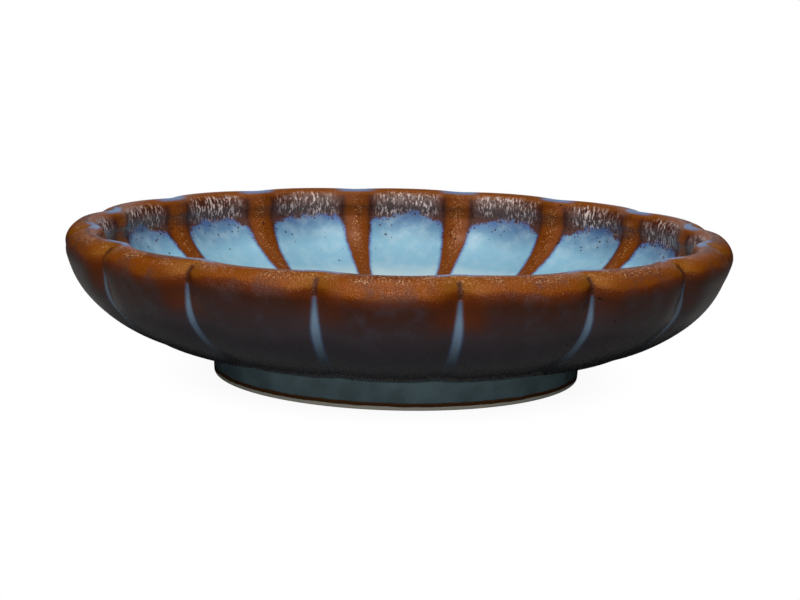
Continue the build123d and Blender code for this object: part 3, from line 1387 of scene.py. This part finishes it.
    def push(self, loop: np.ndarray, along: np.ndarray, inward: np.ndarray) -> np.ndarray:
        """Works out how far, and which way, a groove or rib moves each point.

        Args:
            loop: The profile's points.
            along: Each point's length along the wall from the lip's crest.
            inward: 0 on the outer side of the lip, 1 on its inner side, and smooth between them.

        Returns:
            Each point's push in the bottom of a groove or on the top of a rib.
        """
        normal = self.normals(loop)
        level = 1.0 - smooth_step(np.abs(along), self.lip_reach, self.lip_ends)
        up = np.abs(normal[:, 1]) * (1.0 - level)
        direction = np.stack([-np.sqrt(1.0 - up * up), up], 1)
        radius, steep = loop[:, 0], np.abs(normal[:, 0])
        groove = np.maximum(self.groove_depth * steep, self.groove_least)
        groove *= smooth_step(radius, self.underside_radius, self.underside_radius + self.groove_fade)
        groove *= 1.0 - self.groove_easing * smooth_step(-along, self.easing_starts, self.easing_ends)
        rib = np.maximum(self.rib_height * steep, self.rib_least)
        rib *= smooth_step(radius, self.floor_radius, self.floor_radius + self.rib_fade)
        at_lip = self.groove_depth + (self.rib_height - self.groove_depth) * inward
        amount = np.where(along < 0, groove, rib) * (1.0 - level) + at_lip * level
        return direction * amount[:, None]

    def normals(self, loop: np.ndarray) -> np.ndarray:
        """Finds the direction in which the profile faces.

        Args:
            loop: The profile's points.

        Returns:
            A direction of length 1 at each point.
        """
        ahead = np.roll(loop, -self.normal_reach, 0) - np.roll(loop, self.normal_reach, 0)
        tangent = ahead / np.linalg.norm(ahead, axis=1)[:, None]
        return np.stack([tangent[:, 1], -tangent[:, 0]], 1)


class ShapeTree:
    """A Geometry Nodes tree with named inputs, which turns a source mesh into a finished piece."""

    def __init__(self, name: str, takes: dict[str, str]) -> None:
        """Makes the tree with only its inputs and its output.

        Args:
            name: The tree's name.
            takes: Each input's name and type.
        """
        self.tree = bpy.data.node_groups.new(name, "GeometryNodeTree")
        sockets = self.tree.interface
        sockets.new_socket("Geometry", in_out="OUTPUT", socket_type="NodeSocketGeometry")
        for label, kind in {"Source": "Geometry", **takes, "Material": "Material"}.items():
            sockets.new_socket(label, in_out="INPUT", socket_type=f"NodeSocket{kind}")
        self.graph = Graph(self.tree)
        self.inputs = self.graph.add("NodeGroupInput").outputs
        self.result = self.graph.add("NodeGroupOutput").inputs[0]

    def attribute(self, name: str, kind: str = "FLOAT") -> Socket:
        """A named attribute of the geometry that is being read."""
        return self.graph.add("GeometryNodeInputNamedAttribute", {"Name": name}, data_type=kind).outputs[0]

    def store(self, geometry: Socket, name: str, value: Reading, kind: str = "FLOAT") -> Socket:
        """Keeps a value on each point under a name."""
        inputs = {"Geometry": geometry, "Name": name, "Value": value}
        return self.graph.add("GeometryNodeStoreNamedAttribute", inputs, data_type=kind, domain="POINT").outputs[0]

    def smooth(self, geometry: Socket) -> Socket:
        """The geometry with all its faces shaded smooth."""
        return self.graph.add("GeometryNodeSetShadeSmooth", {"Geometry": geometry}).outputs[0]

    def weld(self, geometry: Socket, distance: float) -> Socket:
        """The geometry with points closer than a distance, in metres, made one."""
        return self.graph.add("GeometryNodeMergeByDistance", {"Geometry": geometry, "Distance": distance}).outputs[0]

    def close(self, geometry: Socket) -> None:
        """Ends the tree: instances become real faces, which take the material.

        Args:
            geometry: The finished geometry.
        """
        real = self.graph.add("GeometryNodeRealizeInstances", {"Geometry": geometry}).outputs[0]
        dressed = self.graph.add("GeometryNodeSetMaterial", {"Geometry": real, "Material": self.inputs["Material"]})
        self.graph.put(self.result, dressed.outputs[0])

    def run(self, name: str, source: bpy.types.Mesh, values: dict[str, object]) -> bpy.types.Object:
        """Runs the tree on a source mesh.

        Args:
            name: The finished piece's name.
            source: The mesh that the tree starts from.
            values: The inputs, by name.

        Returns:
            The finished piece, a plain mesh with no modifier.
        """
        piece = bpy.data.objects.new(name, source)
        modifier = piece.modifiers.new("shape", "NODES")
        modifier.node_group = self.tree
        for item in self.tree.interface.items_tree:
            if item.name in values:
                modifier[item.identifier] = values[item.name]
        bpy.context.scene.collection.objects.link(piece)
        finished = bpy.data.meshes.new_from_object(piece.evaluated_get(bpy.context.evaluated_depsgraph_get()))
        piece.modifiers.remove(modifier)
        if finished.materials[0] is None:
            finished.materials.pop(index=0)
        piece.data = finished
        finished.name = name
        bpy.data.meshes.remove(source)
        return piece


class ThrownWall(ShapeTree):
    """Turns a wall's rows round the axis, with a groove outside and a rib inside between each two lobes."""

    INWARD = (26.0, 2.0, 0.5)
    DOWN = (22.0, 2.0, 0.5)
    DOWN_SEED = 5.0
    DOWN_SHARE = 0.4
    WOBBLE_EDGE = 8.0 * MM

    def __init__(self) -> None:
        """Builds the tree."""
        counts = ("Rows", "Lobes", "Columns")
        lengths = ("Bunching", "Pattern Radius", "Wobble", "Wobble Starts", "Wobble Seed")
        super().__init__("thrown_wall", {**dict.fromkeys(counts, "Int"), **dict.fromkeys(lengths, "Float")})
        graph, inputs = self.graph, self.inputs
        columns = graph.plus(graph.times(inputs["Lobes"], inputs["Columns"]), 1.0)
        rows = graph.plus(inputs["Rows"], 1.0)
        sizes = {"Size X": 1.0, "Size Y": 1.0, "Vertices X": columns, "Vertices Y": rows}
        grid = graph.add("GeometryNodeMeshGrid", sizes).outputs["Mesh"]
        where = graph.add("GeometryNodeInputPosition").outputs[0]
        turn = graph.times(graph.plus(graph.part(where, 0), 0.5), inputs["Lobes"])
        row = graph.math("ROUND", graph.times(graph.plus(graph.part(where, 1), 0.5), inputs["Rows"]))
        row = graph.math("MODULO", row, inputs["Rows"])
        phase = self.phase(turn)
        lobe = graph.plus(graph.math("FLOOR", turn), phase)
        angle = graph.times(graph.math("DIVIDE", lobe, inputs["Lobes"]), 2.0 * math.pi)
        east, north = graph.math("COSINE", angle), graph.math("SINE", angle)
        place = self.read_row(where, row, "FLOAT_VECTOR")
        push = self.read_row(self.attribute("push", "FLOAT_VECTOR"), row, "FLOAT_VECTOR")
        softness = self.read_row(self.attribute("softness"), row, "FLOAT")
        narrowness = self.read_row(self.attribute("narrowness"), row, "FLOAT")
        along = self.read_row(self.attribute("along"), row, "FLOAT")
        moved = graph.vector("ADD", place, graph.vector("SCALE", push, self.groove(phase, softness, narrowness)))
        reach = inputs["Pattern Radius"]
        flow = graph.join(graph.times(east, reach), graph.times(north, reach), along)
        moved = graph.vector("SUBTRACT", moved, self.wobble(moved, flow))
        radius = graph.part(moved, 0)
        target = graph.join(graph.times(radius, east), graph.times(radius, north), graph.part(moved, 2))
        mesh = self.store(grid, "across", graph.times(graph.math("ABSOLUTE", phase), 2.0))
        mesh = self.store(mesh, "along", along)
        mesh = self.store(mesh, "flow", flow, "FLOAT_VECTOR")
        mesh = graph.add("GeometryNodeSetPosition", {"Geometry": mesh, "Position": target}).outputs[0]
        self.close(self.smooth(self.weld(mesh, SEAM)))

    def phase(self, turn: Socket) -> Socket:
        """Finds where a point lies in its lobe, with the columns bunched at the grooves.

        Args:
            turn: The way round the pot, counted in lobes.

        Returns:
            The place in the lobe, from -0.5 to 0.5.
        """
        graph = self.graph
        even = graph.minus(graph.math("FRACT", turn), 0.5)
        bunched = graph.times(graph.math("SINE", graph.times(even, math.pi)), 0.5)
        return graph.plus(even, graph.times(graph.minus(bunched, even), self.inputs["Bunching"]))

    def read_row(self, value: Socket, row: Socket, kind: str) -> Socket:
        """Reads a value from one row of the source."""
        inputs = {"Geometry": self.inputs["Source"], "Value": value, "Index": row}
        return self.graph.add("GeometryNodeSampleIndex", data_type=kind, domain="POINT", inputs=inputs).outputs[0]

    def groove(self, phase: Socket, softness: Socket, narrowness: Socket) -> Socket:
        """Finds how far into a groove a point is.

        Args:
            phase: The point's place in its lobe, from -0.5 to 0.5.
            softness: How much the groove's bottom is rounded.
            narrowness: How much of the lobe stays clear of the groove.

        Returns:
            0 on a lobe's crest and 1 in the groove.
        """
        graph = self.graph
        away = graph.minus(0.5, graph.math("ABSOLUTE", phase))
        square = graph.math("POWER", softness, 2.0)
        eased = graph.math("SQRT", graph.plus(graph.math("POWER", away, 2.0), square))
        widest = graph.math("SQRT", graph.plus(square, 0.25))
        share = graph.math("DIVIDE", graph.minus(eased, softness), graph.minus(widest, softness))
        return graph.math("POWER", graph.minus(1.0, share), narrowness)

    def wobble(self, place: Socket, flow: Socket) -> Socket:
        """Makes the potter's slight unevenness: only inwards and downwards, so the pot never outgrows its size.

        Args:
            place: The point's radius and height.
            flow: The place that the pattern is read from.

        Returns:
            How far the point moves in radius and height.
        """
        graph, inputs = self.graph, self.inputs
        seed = inputs["Wobble Seed"]
        inward = graph.noise(flow, *self.INWARD, seed)
        down = graph.noise(flow, *self.DOWN, graph.plus(seed, self.DOWN_SEED))
        upper = graph.plus(inputs["Wobble Starts"], self.WOBBLE_EDGE)
        share = graph.rise(graph.part(place, 0), inputs["Wobble Starts"], upper, 0.0, inputs["Wobble"])
        return graph.vector("SCALE", graph.join(inward, 0.0, graph.times(down, self.DOWN_SHARE)), share)


@dataclass(frozen=True)
class Bowl:
    """The pressed bowl. Lengths in metres."""

    name: str = "glazed_bowl"
    profile: BowlProfile = field(default_factory=BowlProfile)
    lobes: Lobes = field(default_factory=Lobes)
    glaze: FlowingGlaze = field(default_factory=FlowingGlaze)
    pattern_radius: float = 100.0 * MM
    wobble: float = 0.35 * MM
    wobble_starts: float = 66.0 * MM
    wobble_seed: float = 7.0

    def make(self, tree: ThrownWall, effects: Effects) -> bpy.types.Object:
        """Makes the bowl and puts it in its node's place.

        Args:
            tree: The tree that turns a wall round the axis.
            effects: The shared effects.

        Returns:
            The bowl.
        """
        wall = self.profile.rows()
        values = {
            "Rows": len(wall.along),
            "Lobes": self.lobes.count,
            "Columns": self.lobes.columns,
            "Bunching": self.lobes.bunching,
            "Pattern Radius": self.pattern_radius,
            "Wobble": self.wobble,
            "Wobble Starts": self.wobble_starts,
            "Wobble Seed": self.wobble_seed,
            "Material": self.glaze.make(effects),
        }
        return place_piece(tree.run(self.name, wall.mesh("bowl_rows"), values), "bowl")


# ---------------------------------------------------------------------------
# Foot ring
# ---------------------------------------------------------------------------


@dataclass(frozen=True)
class FootRing:
    """The ring foot under the bowl, with the glaze pooled where it meets the underside. Millimetres."""

    name: str = "foot_ring_glazed"
    height: float = 9.9
    top_radius: float = 61.0
    bottom_radius: float = 60.5
    width: float = 6.0
    edge: float = 0.6
    pooled: float = 0.8
    edge_points: int = 7
    inner_points: int = 6
    outer_points: int = 10
    sections: int = 16
    columns: int = 12
    glaze: DarkGlaze = field(default_factory=DarkGlaze)

    def outline(self) -> np.ndarray:
        """Draws the ring's section: two leaning sides, two rounded lower edges, and a flare where glaze has pooled.

        Returns:
            The points from the top inside, down and round to the top again.
        """
        quarter = np.linspace(0.0, math.pi / 2, self.edge_points)
        inner_bottom, inner_top = self.bottom_radius - self.width, self.top_radius - self.width
        slope = (self.top_radius - self.bottom_radius) / self.height
        points: list[tuple[float, float]] = []
        for share in np.linspace(1.0, 0.0, self.inner_points)[:-1]:
            rise = self.edge + (self.height - self.edge) * share
            points.append((inner_bottom + slope * rise, rise))
        for turn in quarter:
            points.append((inner_bottom + self.edge * (1 - math.cos(turn)), self.edge * (1 - math.sin(turn))))
        for turn in quarter[::-1]:
            points.append((self.bottom_radius - self.edge * (1 - math.cos(turn)), self.edge * (1 - math.sin(turn))))
        top = self.height - self.pooled
        for share in np.linspace(0.0, 1.0, self.outer_points)[1:]:
            rise = self.edge + (top - self.edge) * share
            points.append((self.bottom_radius + slope * rise, rise))
        for turn in quarter[1:]:
            flare = self.pooled * (1 - math.cos(turn))
            points.append((self.bottom_radius + slope * top + flare, top + self.pooled * math.sin(turn)))
        points.append((inner_top + self.width / 2, self.height))
        return np.array(points)

    def rows(self) -> Wall:
        """Makes the ring's section a wall with no grooves.

        Returns:
            The wall, in metres.
        """
        outline = self.outline()
        even = np.ones(len(outline))
        return Wall(outline * MM, np.zeros_like(outline), even, even, measure(outline) * MM)

    def make(self, tree: ThrownWall, effects: Effects) -> bpy.types.Object:
        """Makes the foot ring and puts it in its node's place.

        Args:
            tree: The tree that turns a wall round the axis.
            effects: The shared effects.

        Returns:
            The foot ring.
        """
        wall = self.rows()
        values = {
            "Rows": len(wall.along),
            "Lobes": self.sections,
            "Columns": self.columns,
            "Bunching": 0.0,
            "Pattern Radius": self.top_radius * MM,
            "Wobble": 0.0,
            "Wobble Starts": 0.0,
            "Wobble Seed": 0.0,
            "Material": self.glaze.make(effects),
        }
        return place_piece(tree.run(self.name, wall.mesh("foot_rows"), values), "foot_ring")


# ---------------------------------------------------------------------------
# Drain screen and its clip
# ---------------------------------------------------------------------------


class MeshCells(ShapeTree):
    """Repeats one cell of the screen over a square and joins the cells and the border into one mesh."""

    def __init__(self) -> None:
        """Builds the tree."""
        super().__init__("mesh_cells", {"Cells": "Int", "Pitch": "Float", "Border": "Object"})
        graph, inputs = self.graph, self.inputs
        span, count = graph.times(inputs["Pitch"], graph.minus(inputs["Cells"], 1.0)), inputs["Cells"]
        sizes = {"Size X": span, "Size Y": span, "Vertices X": count, "Vertices Y": count}
        spots = graph.add("GeometryNodeMeshGrid", sizes).outputs["Mesh"]
        cells = graph.add("GeometryNodeInstanceOnPoints", {"Points": spots, "Instance": inputs["Source"]}).outputs[0]
        border = graph.add("GeometryNodeObjectInfo", {"Object": inputs["Border"]}).outputs["Geometry"]
        joined = graph.add("GeometryNodeJoinGeometry")
        graph.put(joined.inputs[0], cells)
        graph.put(joined.inputs[0], border)
        real = graph.add("GeometryNodeRealizeInstances", {"Geometry": joined.outputs[0]}).outputs[0]
        self.close(self.smooth(self.weld(real, 2.0 * SEAM)))


@dataclass(frozen=True)
class DrainScreen:
    """The moulded mesh over the drain hole: bars with rounded sides. Millimetres."""

    name: str = "mesh_screen"
    cells: int = 11
    pitch: float = 3.6
    bar: float = 1.0
    thickness: float = 0.9
    floor_height: float = 17.1
    corner: float = 0.45
    corner_steps: int = 2
    bar_steps: int = 4
    bar_flat: float = 0.22
    plastic: MeshPlastic = field(default_factory=MeshPlastic)

    def ring(self, half: float, corner: float) -> np.ndarray:
        """Draws a square with rounded corners.

        Args:
            half: Half of the square's side.
            corner: The radius of its corners.

        Returns:
            The points, counter-clockwise from its right side.
        """
        points = []
        for side in range(4):
            middle = math.pi / 2 * side
            turn = np.array([[math.cos(middle), -math.sin(middle)], [math.sin(middle), math.cos(middle)]])
            for step in range(self.corner_steps + 1):
                angle = math.pi / 2 * step / self.corner_steps
                inset = half - corner
                points.append(turn @ np.array([inset + corner * math.cos(angle), inset + corner * math.sin(angle)]))
        return np.array(points)

    def bar_side(self) -> list[tuple[float, float]]:
        """Draws the rounded half of a bar's section.

        Returns:
            Points from the top to the bottom: how far out from the bar's middle line, and how high.
        """
        turns = np.linspace(math.pi / 2, -math.pi / 2, self.bar_steps + 1)
        flat, half = self.bar * self.bar_flat, self.thickness / 2
        return [(flat + (self.bar / 2 - flat) * math.cos(turn), half + half * math.sin(turn)) for turn in turns]

    def cell(self) -> bpy.types.Mesh:
        """Makes one cell: half of each of the four bars round an opening.

        Returns:
            The cell's mesh, centred on the axis.
        """
        half = self.pitch / 2
        middle_line = self.ring(half, corner=0.0)
        sides = [(self.ring(half - out, self.corner), rise) for out, rise in self.bar_side()]
        return self.skin("screen_cell", [(middle_line, self.thickness), *sides, (middle_line, 0.0)], inward=True)

    def border(self) -> bpy.types.Mesh:
        """Makes the outer half of the bars along the four edges.

        Returns:
            The border's mesh.
        """
        half = self.cells * self.pitch / 2
        stations = self.stations(half)
        sides = [(stations * (half + out) / half, rise) for out, rise in self.bar_side()]
        return self.skin("screen_border", [(stations, self.thickness), *sides, (stations, 0.0)], inward=False)

    def stations(self, half: float) -> np.ndarray:
        """Places the points along a square's four sides that the cells' corners fall on.

        Args:
            half: Half of the square's side.

        Returns:
            The points, counter-clockwise.
        """
        marks = np.linspace(-half, half, self.cells + 1)[:-1]
        edge = np.full_like(marks, half)
        right, back = np.column_stack([edge, marks]), np.column_stack([-marks, edge])
        return np.concatenate([right, back, -right, -back])

    def skin(self, name: str, rings: list[tuple[np.ndarray, float]], inward: bool) -> bpy.types.Mesh:
        """Joins rings of points with faces.

        Args:
            name: The mesh's name.
            rings: Each ring's points and height, from the top to the bottom.
            inward: Whether the faces look towards the middle.

        Returns:
            The mesh, in metres.
        """
        count = len(rings[0][0])
        faces = []
        for first in range(0, (len(rings) - 1) * count, count):
            for step in range(count):
                one, other = first + step, first + (step + 1) % count
                face = (one, one + count, other + count, other)
                faces.append(face[::-1] if inward else face)
        heights = np.repeat([rise for _, rise in rings], count) + self.floor_height
        points = np.column_stack([np.concatenate([ring for ring, _ in rings]), heights])
        mesh = bpy.data.meshes.new(name)
        mesh.from_pydata((points * MM).tolist(), [], faces)
        return mesh

    def make(self, tree: MeshCells, effects: Effects) -> bpy.types.Object:
        """Makes the screen and puts it in its node's place.

        Args:
            tree: The tree that repeats a cell.
            effects: The shared effects.

        Returns:
            The screen.
        """
        border = bpy.data.objects.new("screen_border", self.border())
        values = {
            "Cells": self.cells,
            "Pitch": self.pitch * MM,
            "Border": border,
            "Material": self.plastic.make(effects),
        }
        screen = tree.run(self.name, self.cell(), values)
        bpy.data.meshes.remove(border.data)
        return place_piece(screen, "drain_screen")


class BentWire(ShapeTree):
    """Bends a wire round the corners of a line of points, each with its own radius."""

    def __init__(self) -> None:
        """Builds the tree."""
        super().__init__("bent_wire", {"Wire Radius": "Float", "Bend Steps": "Int", "Round Steps": "Int"})
        graph, inputs = self.graph, self.inputs
        line = graph.add("GeometryNodeMeshToCurve", {"Mesh": inputs["Source"]}).outputs[0]
        bends = {"Curve": line, "Radius": self.attribute("bend"), "Count": inputs["Bend Steps"]}
        bent = graph.add("GeometryNodeFilletCurve", bends, mode="POLY").outputs[0]
        circle = {"Resolution": inputs["Round Steps"], "Radius": inputs["Wire Radius"]}
        section = graph.add("GeometryNodeCurvePrimitiveCircle", circle).outputs[0]
        wire = {"Curve": bent, "Profile Curve": section, "Fill Caps": True}
        self.close(self.smooth(graph.add("GeometryNodeCurveToMesh", wire).outputs[0]))


@dataclass(frozen=True)
class ScreenClip:
    """The bent wire that holds the screen: a bow on top and two legs turned out under the floor. Millimetres."""

    name: str = "wire_clip"
    diameter: float = 1.5
    clearance: float = 0.1
    foot_height: float = 9.9
    floor_height: float = 17.1
    screen_thickness: float = 0.9
    leg: float = 7.2
    leg_reach: float = 10.0
    wing_reach: float = 10.5
    wing_spread: float = 4.0
    leg_bend: float = 1.8
    wing_bend: float = 3.0
    bend_steps: int = 10
    round_steps: int = 20
    wire: AnodisedWire = field(default_factory=AnodisedWire)

    def route(self) -> bpy.types.Mesh:
        """Makes the line of the wire's corners, each with the radius of its bend.

        Returns:
            The line as a mesh of edges, in metres.
        """
        radius = self.diameter / 2
        above = self.floor_height + self.screen_thickness + self.clearance + radius
        below = self.foot_height - self.clearance - radius
        middle = self.leg + self.wing_reach / 2
        half = [
            (-self.leg - self.leg_reach, 0.0, below),
            (-self.leg, 0.0, below),
            (-self.leg, 0.0, above),
            (-middle, self.wing_spread, above),
            (-self.leg - self.wing_reach, 0.0, above),
            (-middle, -self.wing_spread, above),
        ]
        corners = np.array(half + [(-x, -y, z) for x, y, z in reversed(half)]) * MM
        bends = [0.0, self.leg_bend, self.leg_bend, self.wing_bend, self.wing_bend, self.wing_bend]
        mesh = bpy.data.meshes.new("clip_route")
        mesh.from_pydata(corners.tolist(), [(step, step + 1) for step in range(len(corners) - 1)], [])
        attribute = mesh.attributes.new("bend", "FLOAT", "POINT")
        attribute.data.foreach_set("value", np.array(bends + bends[::-1], np.float32) * MM)
        return mesh

    def make(self, tree: BentWire, effects: Effects) -> bpy.types.Object:
        """Makes the clip and puts it in its node's place.

        Args:
            tree: The tree that bends a wire.
            effects: The shared effects.

        Returns:
            The clip.
        """
        values = {
            "Wire Radius": self.diameter / 2 * MM,
            "Bend Steps": self.bend_steps,
            "Round Steps": self.round_steps,
            "Material": self.wire.make(effects),
        }
        return place_piece(tree.run(self.name, self.route(), values), "screen_clip")


# ---------------------------------------------------------------------------
# Assembly
# ---------------------------------------------------------------------------


def place_piece(piece: bpy.types.Object, node: str) -> bpy.types.Object:
    """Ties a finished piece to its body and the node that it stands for.

    Args:
        piece: The finished piece.
        node: The construction model's node.

    Returns:
        The same piece.
    """
    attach(piece, BODY)
    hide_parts(node)
    log.info("%s: %d faces, stands for %s", piece.name, len(piece.data.polygons), node)
    return piece


def main() -> None:
    """Builds the studio and the pot, piece by piece."""
    logging.basicConfig(level=logging.INFO, format="%(name)s: %(message)s")
    Camera().make()
    Studio().make()
    effects = Effects()
    thrown_wall = ThrownWall()
    Bowl().make(thrown_wall, effects)
    FootRing().make(thrown_wall, effects)
    DrainScreen().make(MeshCells(), effects)
    ScreenClip().make(BentWire(), effects)


if __name__ == "__main__":
    main()
